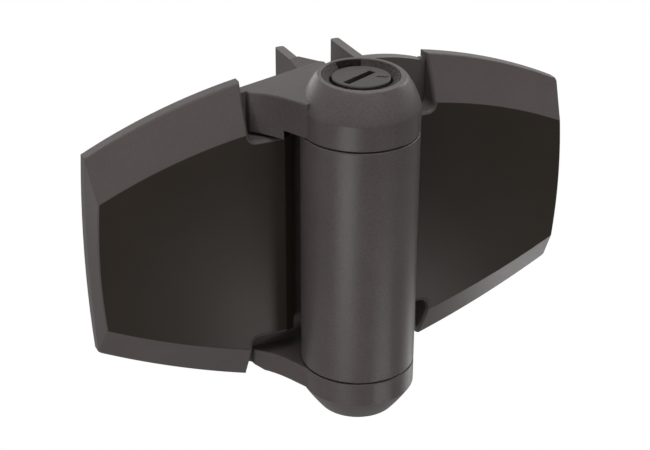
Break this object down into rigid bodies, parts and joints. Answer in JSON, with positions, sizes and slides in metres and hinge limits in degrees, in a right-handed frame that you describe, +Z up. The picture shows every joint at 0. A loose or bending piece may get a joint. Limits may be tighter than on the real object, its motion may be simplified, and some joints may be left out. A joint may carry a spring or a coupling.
{
  "type": "self-closing gate hinge",
  "caption": "Self-closing polymer gate hinge: proud barrel with a domed, slotted tension dial, two covered leaves with bevelled faces and gap fins behind.",
  "frame": {"origin": "centre of the post leaf's four fixings, on its mounting face", "axes": "+X from the post leaf to the gate leaf, +Y into the post and gate, +Z up along the barrel"},
  "size_m": [0.18, 0.0642, 0.1251],
  "materials": {
    "textured_nylon": "fine mould texture",
    "cover_nylon": "satin",
    "collar_nylon": "coarse stipple",
    "dial_nylon": "satin",
    "inner_nylon": "as moulded",
    "acetal": "as moulded",
    "stainless": "turned",
    "spring_steel": "drawn wire"
  },
  "bodies": {
    "post_leaf": {"post_leaf_frame": "textured_nylon", "adjuster_collar": "collar_nylon", "index_ring": "acetal", "upper_pivot_sleeve": "stainless", "upper_thrust_washer": "acetal", "lower_thrust_washer": "acetal", "lower_pivot_plug": "stainless", "foot_cap": "textured_nylon", "pivot_screw": "stainless"},
    "gate_leaf": {"gate_leaf_frame": "textured_nylon", "upper_bearing_bush": "acetal", "lower_bearing_bush": "acetal", "lower_spring_anchor": "inner_nylon"},
    "adjuster": {"adjuster_dial": "dial_nylon", "pawl_ring": "spring_steel", "spindle": "stainless", "spindle_clip": "spring_steel", "upper_spring_anchor": "inner_nylon", "spring_mandrel": "acetal", "torsion_spring": "spring_steel"},
    "post_cover": {"post_leaf_cover": "cover_nylon"},
    "gate_cover": {"gate_leaf_cover": "cover_nylon"}
  },
  "joints": [
    {"name": "gate_swing", "type": "hinge", "parent": "post_leaf", "child": "gate_leaf", "pos_m": [0.058, -0.0245, 0], "axis": [0, 0, -1], "range_deg": [0, 120], "stiffness_Nm_per_rad": 1.3, "springref_deg": -65.89, "deforming": ["torsion_spring"]},
    {"name": "tension_turn", "type": "hinge", "parent": "post_leaf", "child": "adjuster", "pos_m": [0.058, -0.0245, 0], "axis": [0, 0, 1], "range_deg": [0, 270], "deforming": ["pawl_ring", "torsion_spring"]},
    {"name": "post_cover_pull", "type": "slide", "parent": "post_leaf", "child": "post_cover", "axis": [0, -1, 0], "range_m": [0, 0.006]},
    {"name": "gate_cover_pull", "type": "slide", "parent": "gate_leaf", "child": "gate_cover", "axis": [0, -1, 0], "range_m": [0, 0.006]}
  ]
}
